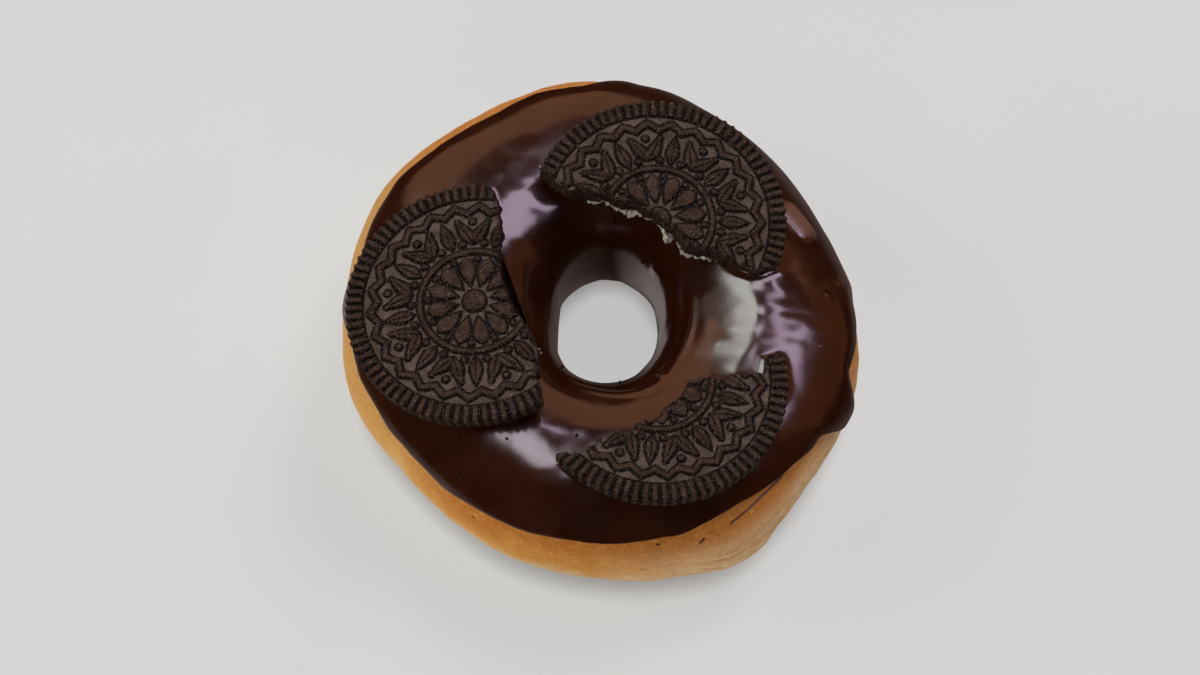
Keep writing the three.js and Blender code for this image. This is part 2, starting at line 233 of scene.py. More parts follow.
class Noise:
    """Smooth lumps in space, about -1 to 1, the same for the same seed."""

    CELLS = 256
    GAIN = 1.6

    def __init__(self, seed):
        draw = np.random.default_rng(seed)
        self.order = draw.permutation(self.CELLS)
        arrows = draw.normal(size=(self.CELLS, 3))
        self.arrows = arrows / np.linalg.norm(arrows, axis=1, keepdims=True)

    def at(self, points, size):
        points = np.asarray(points, float)
        scaled = points.reshape(-1, 3) / size
        cell = np.floor(scaled).astype(int)
        part = scaled - cell
        fade = part ** 3 * (part * (part * 6 - 15) + 10)
        total = np.zeros(len(scaled))
        for corner in itertools.product((0, 1), repeat=3):
            place = (cell + corner) % self.CELLS
            pick = self.order[place[:, 2]]
            pick = self.order[(pick + place[:, 1]) % self.CELLS]
            pick = self.order[(pick + place[:, 0]) % self.CELLS]
            weight = np.prod(np.where(corner, fade, 1 - fade), axis=1)
            total += weight * np.sum(self.arrows[pick] * (part - corner), axis=1)
        return self.GAIN * total.reshape(points.shape[:-1])

    def layers(self, points, layers):
        return sum(depth * self.at(points, size) for depth, size in layers)


noise = Noise(SEED)
rough_noise = Noise(SEED + 1)


def smooth_step(low, high, value):
    share = np.clip((value - low) / (high - low), 0, 1)
    return share * share * (3 - 2 * share)


def rise_and_fall(rise, fall, value):
    """1 between two slopes, and 0 beyond them."""
    return smooth_step(*rise, value) * smooth_step(*fall, value)


def stacked(x, y, z):
    return np.stack(np.broadcast_arrays(x, y, z), axis=-1)


def turned(x, y, degrees):
    angle = math.radians(degrees)
    across = x * math.cos(angle) - y * math.sin(angle)
    up = x * math.sin(angle) + y * math.cos(angle)
    return across, up


def wave_sum(base, waves, angle):
    total = np.full(np.shape(angle), float(base))
    for lobes, size, peak in waves:
        total = total + size * np.cos(lobes * (angle - math.radians(peak)))
    return total


def smooth_round(places, angle):
    """A smooth closed curve through a list of (degrees, value) places."""
    degrees = np.degrees(angle) % 360
    starts, values = np.array([*places, (places[0][0] + 360, places[0][1])]).T
    found = np.searchsorted(starts, degrees, side="right") - 1
    share = smooth_step(starts[found], starts[found + 1], degrees)
    return values[found] * (1 - share) + values[found + 1] * share


def signed_power(value, power):
    return np.sign(value) * np.abs(value) ** power


def ring_sizes(angle):
    outer = wave_sum(RING_BASE, RING_WAVES, angle)
    hole = wave_sum(HOLE_BASE, HOLE_WAVES, angle)
    crest = CREST_HEIGHT + CREST_LEAN * np.cos(angle - math.radians(CREST_LEAN_PEAK))
    return (outer + hole) / 2, (outer - hole) / 2, crest - BELLY_HEIGHT


def ring_point(angle, turn, lift):
    """A point of the ring's skin. turn is 0 at the outer belly and a quarter turn at the crest."""
    middle, half_width, rise = ring_sizes(angle)
    across = np.cos(turn)
    up = np.sin(turn)
    reach = np.where(up > 0, rise, UNDERSIDE_DEPTH)
    sideways = signed_power(across, 2 / SECTION_POWER)
    upward = signed_power(up, 2 / SECTION_POWER)
    normal_across = signed_power(sideways, SECTION_POWER - 1) / half_width
    normal_up = signed_power(upward, SECTION_POWER - 1) / reach
    size = np.hypot(normal_across, normal_up)
    radius = middle + half_width * sideways + lift * normal_across / size
    height = BELLY_HEIGHT + reach * upward + lift * normal_up / size
    x = RING_CENTRE[0] + radius * np.cos(angle)
    y = RING_CENTRE[1] + radius * np.sin(angle)
    return stacked(x, y, height)


def near_ring(angle, turn, lump):
    """How much of a lump's bulge is felt at a place on the ring."""
    at_angle, at_turn, width, height, bulge = lump
    aside = ((np.degrees(angle) - at_angle + 180) % 360 - 180) / width
    above = (np.degrees(turn) - at_turn) / height
    return bulge * np.exp(-aside ** 2 - above ** 2)


def line_distance(points, line):
    """The distance to an open line through places, in a plane or in space."""
    nearest = np.full(points.shape[:-1], np.inf)
    for start, end in itertools.pairwise(map(np.array, line)):
        along = end - start
        share = np.clip((points - start) @ along / (along @ along), 0, 1)
        gap = np.linalg.norm(points - start - share[..., None] * along, axis=-1)
        nearest = np.minimum(nearest, gap)
    return nearest


def icing_height(x, y, lift):
    """The height of a skin of that lift over the ring's top, at a place in plan."""
    aside = x - RING_CENTRE[0]
    ahead = y - RING_CENTRE[1]
    middle, half_width, rise = ring_sizes(np.arctan2(ahead, aside))
    share = np.abs(np.hypot(aside, ahead) - middle) / (half_width + lift)
    share = np.clip(share, 0, 1)
    return BELLY_HEIGHT + (rise + lift) * (1 - share ** SECTION_POWER) ** (1 / SECTION_POWER)


def add_mesh(name, points, faces, material, attributes=None):
    """A smooth mesh from points in millimetres, with values for its points."""
    mesh = bpy.data.meshes.new(name)
    mesh.from_pydata((np.asarray(points) * MM).tolist(), [], faces)
    for label, values in (attributes or {}).items():
        layer = mesh.attributes.new(label, "FLOAT", "POINT")
        layer.data.foreach_set("value", np.asarray(values, np.float32))
    mesh.shade_smooth()
    mesh.update()
    piece = bpy.data.objects.new(name, mesh)
    bpy.context.scene.collection.objects.link(piece)
    piece.data.materials.append(material)
    return piece


def tube_faces(columns, rows):
    """Faces of a closed tube whose section loops follow one another round the ring."""
    column, row = np.meshgrid(np.arange(columns), np.arange(rows), indexing="ij")
    here = column * rows
    beside = (column + 1) % columns * rows
    above = (row + 1) % rows
    corners = [here + row, beside + row, beside + above, here + above]
    return np.stack(corners, axis=-1).reshape(-1, 4).tolist()


# Shader helpers.


class Nodes:
    """A node tree that is built up from short calls."""

    def __init__(self, tree):
        self.tree = tree

    def node(self, kind, inputs=None, **settings):
        node = self.tree.nodes.new(kind)
        for label, value in settings.items():
            setattr(node, label, value)
        for label, value in (inputs or {}).items():
            self.feed(node.inputs[label], value)
        return node

    def feed(self, socket, value):
        if isinstance(value, bpy.types.NodeSocket):
            self.tree.links.new(value, socket)
        else:
            socket.default_value = value

    def mix(self, share, first, second):
        node = self.node("ShaderNodeMix", {"Factor": share}, data_type="RGBA")
        for index, colour in ((6, first), (7, second)):
            if not isinstance(colour, bpy.types.NodeSocket):
                colour = (*colour, 1)
            self.feed(node.inputs[index], colour)
        return node.outputs[2]


class Shader(Nodes):
    """The nodes of one material."""

    def __init__(self, name, **values):
        self.material = bpy.data.materials.new(name)
        self.material.use_nodes = True
        super().__init__(self.material.node_tree)
        self.surface = self.tree.nodes["Principled BSDF"]
        for label, value in values.items():
            self.set(label.replace("_", " "), value)
        self.place = self.node("ShaderNodeTexCoord").outputs["Object"]

    def set(self, label, value):
        self.feed(self.surface.inputs[label], value)

    def noise(self, size_mm, detail, roughness, place=None):
        inputs = {"Scale": 1 / (size_mm * MM), "Detail": detail, "Roughness": roughness}
        inputs["Vector"] = place or self.place
        return self.node("ShaderNodeTexNoise", inputs).outputs["Fac"]

    def cells(self, size_mm):
        inputs = {"Vector": self.place, "Scale": 1 / (size_mm * MM)}
        return self.node("ShaderNodeTexVoronoi", inputs).outputs["Distance"]

    def stretched(self, scale):
        node = self.node("ShaderNodeMapping", {"Vector": self.place, "Scale": scale})
        return node.outputs["Vector"]

    def value(self, label):
        return self.node("ShaderNodeAttribute", attribute_name=label).outputs["Fac"]

    def height(self):
        return self.node("ShaderNodeSeparateXYZ", {"Vector": self.place}).outputs["Z"]

    def span(self, value, low, high, to_low=0.0, to_high=1.0):
        inputs = {"Value": value, "From Min": low, "From Max": high}
        inputs |= {"To Min": to_low, "To Max": to_high}
        node = self.node("ShaderNodeMapRange", inputs, interpolation_type="SMOOTHSTEP")
        return node.outputs["Result"]

    def maths(self, operation, first, second):
        node = self.node("ShaderNodeMath", {0: first, 1: second}, operation=operation)
        return node.outputs["Value"]

    def tint(self, colour, mask, share, tone):
        """The colour turned towards a screen tone by a share of the mask."""
        return self.mix(self.maths("MULTIPLY", mask, share), colour, screen(*tone))

    def bump(self, height, depth_mm, strength):
        inputs = {"Height": height, "Distance": depth_mm * MM, "Strength": strength}
        node = self.node("ShaderNodeBump", inputs)
        previous = self.surface.inputs["Normal"]
        if previous.is_linked:
            self.feed(node.inputs["Normal"], previous.links[0].from_socket)
        self.set("Normal", node.outputs["Normal"])


def screen(red, green, blue):
    """The shader's colour for a screen colour from 0 to 255."""
    result = []
    for part in (red, green, blue):
        part = part / 255
        result.append(part / 12.92 if part <= 0.04045 else ((part + 0.055) / 1.055) ** 2.4)
    return tuple(result)


def dough_material():
    shader = Shader(
        "dough_crust", Roughness=0.55, Specular_IOR_Level=0.35,
        Subsurface_Weight=0.12, Subsurface_Radius=(0.0025, 0.0012, 0.0005),
    )
    patches = shader.noise(7.0, 4, 0.6)
    fine = shader.noise(0.55, 4, 0.65)
    wander = shader.span(patches, 0.3, 0.7, -0.0022, 0.0022)
    height = shader.maths("ADD", shader.height(), wander)
    upper = shader.span(height, 14 * MM, 21 * MM)
    lower = shader.span(height, 15.5 * MM, 9.5 * MM)
    wrinkled = shader.value("wrinkled")
    strands = shader.noise(6.5, 4, 0.62, shader.stretched((1, 1, 5)))
    lines = shader.span(strands, 0.5, 0.6)
    lines = shader.maths("MULTIPLY", lines, shader.maths("ADD", wrinkled, 0.15))
    mottle = shader.span(shader.noise(2.2, 4, 0.6), 0.35, 0.7)
    grains = shader.span(fine, 0.54, 0.68)
    dusk = shader.span(shader.noise(0.9, 3, 0.6), 0.46, 0.34)
    sparse = shader.span(shader.noise(6.0, 2, 0.5), 0.52, 0.62)
    # The pits are sunk by a bump and painted darker, as painted shade in their hollows.
    pits = shader.maths("MULTIPLY", shader.span(shader.cells(1.5), 0.16, 0.05), sparse)
    colour = shader.mix(upper, screen(226, 154, 56), screen(201, 119, 26))
    for mask, share, tone in (
        (lower, 0.85, (240, 212, 158)),
        (wrinkled, 0.8, (246, 210, 164)),
        (shader.value("fair"), 0.6, (232, 184, 104)),
        (lines, 0.45, (208, 142, 88)),
        (mottle, 0.4, (232, 160, 74)),
        (grains, 0.4, (250, 200, 116)),
        (dusk, 0.35, (196, 116, 40)),
        (pits, 0.5, (168, 92, 34)),
    ):
        colour = shader.tint(colour, mask, share, tone)
    # Painted shade: the crust is painted nearly black in its slits and pits.
    scar = shader.span(shader.value("scar_mm"), 0.36, 0.16, 0, 0.9)
    shader.set("Base Color", shader.mix(scar, colour, screen(70, 22, 4)))
    shader.set("Roughness", shader.span(fine, 0.3, 0.7, 0.5, 0.7))
    shader.bump(fine, 0.05, 0.8)
    shader.bump(shader.noise(1.4, 3, 0.6), 0.10, 0.6)
    shader.bump(shader.maths("MULTIPLY", pits, -1.0), 0.15, 0.8)
    shader.bump(shader.maths("MULTIPLY", strands, wrinkled), 0.9, 0.8)
    return shader.material


def icing_material():
    shader = Shader("icing_chocolate", Roughness=0.22, IOR=1.5)
    streaks = shader.noise(9.0, 3, 0.5)
    dark = screen(46, 17, 6)
    warm = screen(58, 26, 11)
    colour = shader.mix(shader.span(streaks, 0.3, 0.7), dark, warm)
    # Painted light: the finger of icing is painted a lighter orange-brown, as light glowing through
    # it, and is made rougher.
    finger_glow = shader.value("finger_glow")
    colour = shader.tint(colour, finger_glow, 0.9, (110, 64, 18))
    shader.set("Base Color", colour)
    film = shader.span(shader.noise(5.0, 4, 0.6), 0.3, 0.7, 0.13, 0.2)
    shader.set("Roughness", shader.maths("ADD", film, shader.maths("MULTIPLY", finger_glow, 0.65)))
    shader.bump(shader.noise(3.2, 2, 0.5), 0.05, 0.5)
    return shader.material


def wafer_material(name):
    """Cocoa biscuit: a dusty ground, darker motifs, and painted shade, nearly black, round their feet.
    """
    shader = Shader(name, Roughness=0.7, Specular_IOR_Level=0.05)
    motif = shader.value("motif_mm")
    broken = shader.value("broken")
    grain = shader.noise(0.3, 3, 0.65)
    dust = shader.noise(2.6, 4, 0.65)
    patches = shader.span(dust, 0.35, 0.68)
    pad = shader.mix(patches, screen(53, 36, 29), screen(76, 58, 49))
    field = shader.mix(patches, screen(80, 64, 58), screen(110, 93, 87))
    colour = shader.mix(shader.span(motif, -0.1, 0.1), field, pad)
    # Painted shade: a nearly black band round the foot of each motif and in the gaps between the rim's
    # ridges.
    painted_foot_shade = shader.maths("MULTIPLY", shader.span(motif, -0.52, -0.3), shader.span(motif, 0.16, 0.0))
    colour = shader.tint(colour, painted_foot_shade, 0.96, (10, 3, 1))
    scuffs = shader.span(shader.noise(4.0, 3, 0.6), 0.64, 0.7)
    scuffs = shader.maths("MULTIPLY", scuffs, shader.span(motif, 0.1, 0.3))
    colour = shader.tint(colour, scuffs, 0.7, (104, 62, 44))
    colour = shader.mix(broken, colour, screen(46, 33, 27))
    flecks = shader.span(shader.cells(0.8), 0.16, 0.08)
    flecks = shader.maths("MULTIPLY", flecks, shader.span(dust, 0.54, 0.62))
    colour = shader.tint(colour, flecks, 0.6, (160, 138, 124))
    # Pale specks on the grain's high points: partly pale grain and partly painted glints.
    colour = shader.mix(shader.span(grain, 0.54, 0.68, 0, 0.6), colour, screen(138, 118, 106))
    colour = shader.mix(shader.span(grain, 0.44, 0.3, 0, 0.6), colour, screen(24, 14, 10))
    shader.set("Base Color", colour)
    shader.bump(grain, 0.1, 0.9)
    shader.bump(shader.noise(0.9, 3, 0.6), 0.14, 0.8)
    return shader.material


def cream_material():
    shader = Shader(
        "cream_filling", Roughness=0.6, Specular_IOR_Level=0.4,
        Subsurface_Weight=0.3, Subsurface_Radius=(0.0015, 0.0012, 0.0009),
    )
    stains = shader.span(shader.noise(1.1, 4, 0.65), 0.45, 0.6)
    colour = shader.mix(stains, screen(232, 228, 220), screen(158, 144, 120))
    specks = shader.span(shader.noise(0.4, 2, 0.5), 0.66, 0.72)
    shader.set("Base Color", shader.mix(specks, colour, screen(70, 55, 46)))
    shader.bump(shader.noise(0.6, 3, 0.6), 0.12, 0.8)
    return shader.material


FLOOR_GLOW = 0.51
# The painted contact shadow on the floor reaches this far, in mm, and darkens it towards its own tone.
FLOOR_PAINTED_SHADOW_REACH = 5.5
FLOOR_TONES = ((0.205, 0.21, 0.21), (0.22, 0.225, 0.225))
FLOOR_PAINTED_SHADOW_TONE = (0.08, 0.075, 0.07)
FLOOR_HALF = 1500.0


def floor_material():
    """Pale paint with a faint glow, and a painted contact shadow that dims its colour and glow close
    to what stands on it.
    """
    shader = Shader("floor_paint", Roughness=0.85, Specular_IOR_Level=0.2)
    tone = shader.span(shader.noise(60.0, 3, 0.5), 0.3, 0.7)
    # Painted contact shadow: ambient occlusion darkens the floor's colour and glow near what stands on
    # it.
    openness = shader.node(
        "ShaderNodeAmbientOcclusion", {"Distance": FLOOR_PAINTED_SHADOW_REACH * MM}, samples=8
    ).outputs["AO"]
    painted_shadow = shader.span(openness, 0.25, 1.0, 0.45, 1.0)
    paint = shader.mix(tone, *FLOOR_TONES)
    shader.set("Base Color", shader.mix(painted_shadow, FLOOR_PAINTED_SHADOW_TONE, paint))
    shader.set("Emission Color", (1, 1, 1, 1))
    shader.set("Emission Strength", shader.maths("MULTIPLY", painted_shadow, FLOOR_GLOW))
    return shader.material


# The dough.


def wrinkled_share(angle, turn):
    """Where the crust is pale and wrinkled: low on the side at the front right."""
    return rise_and_fall(*WRINKLED, np.degrees(angle)) * smooth_step(*WRINKLED_TURN, turn)


def scar_distance(points):
    """How far places on the crust are from its slits and pits."""
    lines = ([ring_point(*np.radians(place), 0) for place in scar] for scar in SCARS)
    return np.minimum.reduce([line_distance(points, line) for line in lines])


def dough_lift(points, angle, turn, icing_start):
    """The relief of the crust, which fades out below the icing."""
    relief = noise.layers(points, DOUGH_RELIEF)
    wrinkles = sum(
        depth * noise.at(points * (stretch, stretch, 1), size) for depth, stretch, size in WRINKLES
    )
    relief += (FAINT_WRINKLE_DEPTH + WRINKLE_DEPTH * wrinkled_share(angle, turn)) * wrinkles
    for lump in DOUGH_LUMPS:
        relief = relief + near_ring(angle, turn, lump)
    relief = relief - SCAR_DEPTH * smooth_step(SCAR_WIDTH, 0, scar_distance(points))
    covered = smooth_step(*COVERED, turn - icing_start)
    return (relief - DOUGH_INSET) * (1 - covered)


def with_underside(values, shape, beyond):
    """Values for the crust's rows, and one value for all the rows of the underside."""
    filled = np.full(shape, beyond)
    filled[:, :values.shape[1]] = values
    return filled.ravel()


def make_dough(material):
    angle = np.linspace(0, 2 * math.pi, DOUGH_COLUMNS, endpoint=False)[:, None]
    flat_share = (BELLY_HEIGHT / UNDERSIDE_DEPTH) ** (SECTION_POWER / 2)
    flat_turn = -math.asin(flat_share)
    side_start, side_end = np.radians(DOUGH_SIDE)
    below, beside, above = DOUGH_ROWS
    turn = np.concatenate([
        np.linspace(flat_turn, side_start, below, endpoint=False),
        np.linspace(side_start, side_end, beside, endpoint=False),
        np.linspace(side_end, math.pi - flat_turn, above),
    ])
    angle, turn = np.broadcast_arrays(angle, turn[None, :])
    plain = ring_point(angle, turn, 0)
    start = np.radians(smooth_round(ICING_EDGE, angle))
    lift = dough_lift(plain, angle, turn, start)
    skin = ring_point(angle, turn, lift)
    skin[:, 0, 2] = 0
    skin[:, -1, 2] = 0
    share = np.linspace(0, 1, UNDERSIDE_ROWS + 2)[None, 1:-1, None]
    underside = skin[:, -1:, :] * (1 - share) + skin[:, :1, :] * share
    loops = np.concatenate([skin, underside], axis=1)
    loops[..., 2] = np.maximum(loops[..., 2], 0)
    faces = tube_faces(DOUGH_COLUMNS, loops.shape[1])
    degrees = np.degrees(np.arctan2(loops[..., 1], loops[..., 0])) % 360
    shape = loops.shape[:2]
    values = {
        "wrinkled": with_underside(wrinkled_share(angle, turn), shape, 0.0),
        "fair": rise_and_fall(*FAIR, degrees).ravel(),
        "scar_mm": with_underside(scar_distance(plain), shape, NO_SCAR),
    }
    piece = add_mesh("dough_crust", loops.reshape(-1, 3), faces, material, values)
    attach(piece, "root")
    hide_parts("dough")


# The wafers' places and outlines.


def wafer_axes(wafer):
    slopes = [math.tan(math.radians(fall)) for fall in wafer["fall"]]
    normal = np.array([slopes[0], slopes[1], 1.0])
    normal /= np.linalg.norm(normal)
    rightward = np.cross((0, 1, 0), normal)
    rightward /= np.linalg.norm(rightward)
    return rightward, np.cross(normal, rightward), normal


def to_part(wafer, x, y, z):
    """A place over the wafer's underside, in the part's frame."""
    rightward, backward, normal = wafer_axes(wafer)
    local = np.asarray(x)[..., None] * rightward + np.asarray(y)[..., None] * backward
    return np.array(wafer["centre"]) + local + (np.asarray(z)[..., None] - RELIEF_TOP) * normal


def to_wafer(wafer, points):
    rightward, backward, normal = wafer_axes(wafer)
    offset = points - np.array(wafer["centre"])
    return offset @ rightward, offset @ backward, offset @ normal + RELIEF_TOP


def inside_outline(corners, x, y):
    inside = np.zeros(np.shape(x), bool)
    for (from_x, from_y), (to_x, to_y) in zip(corners, corners[1:] + corners[:1]):
        if from_y == to_y:
            continue
        spans = (from_y > y) != (to_y > y)
        crossing = from_x + (y - from_y) * (to_x - from_x) / (to_y - from_y)
        inside ^= spans & (x < crossing)
    return inside


def break_distance(wafer, x, y):
    """How far a place lies within the side of the break that is left."""
    line = np.array(wafer["break_line"])
    far = WAFER_RADIUS * 2
    keeps = math.radians(wafer["keeps"])
    outward = far * np.array([math.cos(keeps), math.sin(keeps)])
    first, last = (end / np.linalg.norm(end) * far for end in (line[0], line[-1]))
    corners = [*line, last, last + outward, first + outward, first]
    distance = line_distance(np.stack([x, y], axis=-1), [first, *line, last])
    return np.where(inside_outline(corners, x, y), distance, -distance)


def rim_ridge(x, y):
    """How far a place lies within one of the ridges round the rim."""
    pitch = 2 * math.pi / RIM_RIDGES
    angle = np.arctan2(y, x)
    aside = (angle % pitch - pitch / 2) * np.hypot(x, y)
    return RIDGE_WIDTH / 2 - np.abs(aside)


def rim_distance(wafer, x, y):
    spun_x, spun_y = turned(x, y, -wafer["spin"])
    ridge = smooth_step(*RIDGE_FLANK, rim_ridge(spun_x, spun_y))
    reach = WAFER_RADIUS - RIDGE_PROUD * (1 - ridge)
    return reach - np.hypot(x, y)


# The pattern pressed into the wafers: how far a place lies within each raised motif.


def folded(x, y, count, first=0):
    """The place turned back into the sector of the first of several equal copies."""
    step = 2 * math.pi / count
    angle = np.arctan2(y, x) - first
    angle = (angle + step / 2) % step - step / 2
    radius = np.hypot(x, y)
    return radius * np.cos(angle), radius * np.sin(angle)


def almond(x, y, inner, widest, outer, half_width):
    """Within an almond along X, from inner to outer, broadest at widest."""
    share = np.where(x < widest, (widest - x) / (widest - inner), (x - widest) / (outer - widest))
    side = half_width * (1 - np.clip(share, 0, 2) ** ALMOND_POWER)
    return ALMOND_SLOPE * (side - np.abs(y))


def zigzag_band(x, y):
    step = math.pi / ZIGZAG["teeth"]
    angle = np.arctan2(y, x) % (2 * step)
    swing = 2 * np.abs(angle / step - 1)
    middle = ZIGZAG["radius"] + ZIGZAG["swing"] * (1 - swing)
    return ZIGZAG["width"] / 2 - ZIGZAG["slope"] * np.abs(np.hypot(x, y) - middle)


def wreath_leaves(x, y):
    half = LEAVES["length"] / 2
    side = LEAVES["width"] / 2
    nearest = np.full(np.shape(x), -np.inf)
    for lean, first in ((-1, 0), (1, 0), (0, math.pi / LEAVES["sprays"])):
        far, aside = folded(x, y, LEAVES["sprays"], first)
        aside = aside - lean * LEAVES["spread"]
        leaf_x, leaf_y = turned(far - LEAVES["radius"], aside, -lean * LEAVES["slant"])
        widest = -half / 5
        blade = almond(leaf_x, leaf_y, -half, widest, half, side)
        beside_vein = np.abs(leaf_y) - VEIN["half_width"] + VEIN["rise"]
        veined = leaf_x < half * VEIN["end"]
        blade = np.where(veined, np.minimum(blade, beside_vein), blade)
        nearest = np.maximum(nearest, blade)
    return nearest


def dot(x, y, radius, count, first, size):
    dot_x, dot_y = folded(x, y, count, math.radians(first))
    return size - np.hypot(dot_x - radius, dot_y)


def motif_distance(x, y):
    radius = np.hypot(x, y)
    petal_place = folded(x, y, PETALS["count"])
    ends = (PETALS["inner"], PETALS["shoulder"], PETALS["outer"])
    motifs = [
        zigzag_band(x, y),
        wreath_leaves(x, y),
        PLAIN_RING["width"] / 2 - np.abs(radius - PLAIN_RING["radius"]),
        almond(*petal_place, *ends, PETALS["width"] / 2),
        BUTTON_RADIUS - radius,
        np.minimum(rim_ridge(x, y), radius - RIM_INNER),
    ]
    return np.maximum.reduce(motifs + [dot(x, y, *values) for values in DOTS])


def flooded(cells, start):
    """The cells that are joined to the start cell."""
    reached = np.zeros_like(cells)
    reached[start] = cells[start]
    while True:
        grown = reached.copy()
        grown[1:] |= reached[:-1]
        grown[:-1] |= reached[1:]
        grown[:, 1:] |= reached[:, :-1]
        grown[:, :-1] |= reached[:, 1:]
        grown &= cells
        if np.array_equal(grown, reached):
            return reached
        reached = grown


def corners_of(grid):
    """Views of a grid at the four corners of each of its cells."""
    return grid[:-1, :-1], grid[1:, :-1], grid[:-1, 1:], grid[1:, 1:]


def one_patch(cells, start):
    """The patch of cells round the start cell, without holes or corner-only joins."""
    low, right, up, far = corners_of(cells)
    for _ in range(4):
        falling = low & far & ~right & ~up
        rising = right & up & ~low & ~far
        low &= ~falling
        right &= ~rising
    patch = np.pad(flooded(cells, start), 1)
    return ~flooded(~patch, (0, 0))[1:-1, 1:-1]


def edge_loop(faces):
    """The points round the edge of a patch of faces, in order."""
    starts = faces.ravel()
    ends = np.roll(faces, -1, axis=1).ravel()
    count = int(faces.max()) + 1
    edges = np.nonzero(~np.isin(starts * count + ends, ends * count + starts))[0]
    following = dict(zip(starts[edges].tolist(), ends[edges].tolist()))
    loop = [starts[edges[0]]]
    while following[loop[-1]] != loop[0]:
        loop.append(following[loop[-1]])
    return np.array(loop)


def onto_outline(x, y, within, spacing):
    """Moves places onto the outline, along the way that leads out."""
    step = spacing / 4
    depth = within(x, y)
    slope_x = (within(x + step, y) - within(x - step, y)) / (2 * step)
    slope_y = (within(x, y + step) - within(x, y - step)) / (2 * step)
    size = np.maximum(np.hypot(slope_x, slope_y), 0.5)
    move = np.clip(depth / size, -spacing, spacing)
    return x - slope_x / size * move, y - slope_y / size * move


def grid_patch(spacing, reach, within):
    """A grid of quads inside an outline, with its edge moved onto the outline.

    within(x, y) says how far a place lies inside. Returns x, y, the quads and the edge loop.
    """
    steps = int(reach / spacing)
    line = np.arange(-steps, steps + 1) * spacing
    x, y = np.meshgrid(line, line, indexing="ij")
    depth = within(x, y)
    cells = np.logical_and.reduce(corners_of(depth > 0))
    deepest = np.unravel_index(np.argmax(np.where(cells, depth[:-1, :-1], -1)), cells.shape)
    column, row = np.nonzero(one_patch(cells, deepest))
    width = len(line)
    here = column * width + row
    quads = np.stack([here, here + width, here + width + 1, here + 1], axis=-1)
    used, quads = np.unique(quads, return_inverse=True)
    quads = quads.reshape(-1, 4)
    x = x.ravel()[used]
    y = y.ravel()[used]
    loop = edge_loop(quads)
    for _ in range(2):
        x[loop], y[loop] = onto_outline(x[loop], y[loop], within, spacing)
    return x, y, quads, loop


def outward_of(x, y):
    """The outward direction at each point of a loop that runs anticlockwise."""
    along_x = np.roll(x, -2) - np.roll(x, 2)
    along_y = np.roll(y, -2) - np.roll(y, 2)
    size = np.maximum(np.hypot(along_x, along_y), 1e-6)
    return along_y / size, -along_x / size


def wall_faces(loop, first, rows):
    """Quads down from a loop to rows of as many points from first on, and a face to close them."""
    count = len(loop)
    rings = [np.asarray(loop)]
    rings += [first + row * count + np.arange(count) for row in range(rows)]
    quads = []
    for upper, lower in zip(rings[:-1], rings[1:]):
        quads.append(np.stack([lower, np.roll(lower, -1), np.roll(upper, -1), upper], axis=-1))
    return np.concatenate(quads).tolist() + [rings[-1][::-1].tolist()]


def walled(x, y, top, loop, base, rows, move):
    """The points of a patch and of walls from its loop down to a base, and the walls' faces.

    move(places, share) says how far out a wall stands at that share of the way down.
    """
    edge_x = x[loop]
    edge_y = y[loop]
    out_x, out_y = outward_of(edge_x, edge_y)
    layers = [stacked(x, y, top)]
    for row in range(1, rows + 1):
        share = row / rows
        level = top[loop] * (1 - share) + base * share
        far = move(stacked(edge_x, edge_y, level), share)
        layers.append(stacked(edge_x + out_x * far, edge_y + out_y * far, level))
    return np.concatenate(layers), wall_faces(loop, len(x), rows)


# The wafers.

BREAK_JAG = ((0.42, 2.4), (0.2, 0.9), (0.09, 0.4))
JAG_REACH = 2
JAG_FULL = 1
FLANK = 0.3
MOTIF_WANDER = ((0.03, 0.8),)
CROWN = {"share": 0.25, "reach": 0.6}
WEAR = {"share": 0.25, "size": 3.0, "slope": (-0.2, 0.6)}
GROOVE = {"depth": 0.2, "outside": 0.24, "width": 0.12}
GRAIN = {"depth": 0.035, "size": 0.7}
RIM_ROUNDING = {"depth": 0.3, "reach": 0.5}
BREAK_ROUNDING = {"depth": 0.3, "reach": 0.25}
CRUMBLE = {"depth": 0.75, "near_break": (1.2, 0.1), "size": 1.3, "slope": (-0.1, 0.5)}
BROKEN_FACE = (0.35, 0.1)
BROKEN_WALL = {"to_break": (0.6, 0.1), "to_rim": (0.0, 0.5)}
WALL_ROWS = 12
WALL_LUMPS = ((0.3, 1.1), (0.16, 0.45))
WALL_HOLLOW = 0.12
RIDGE_FEET = (RELIEF_TOP - 1.0, RELIEF_TOP - 1.5)
UNDERCUT = {"depth": 0.4, "from": 0.75}


def jagged_break(name, x, y):
    """The break distance with the small jags of a snapped biscuit."""
    depth = break_distance(WAFERS[name], x, y)
    near = np.abs(depth) < JAG_REACH
    jag = rough_noise.layers(stacked(x, y, JAG_LEVEL * len(name))[near], BREAK_JAG)
    depth[near] += jag * smooth_step(JAG_REACH, JAG_FULL, np.abs(depth[near]))
    return depth


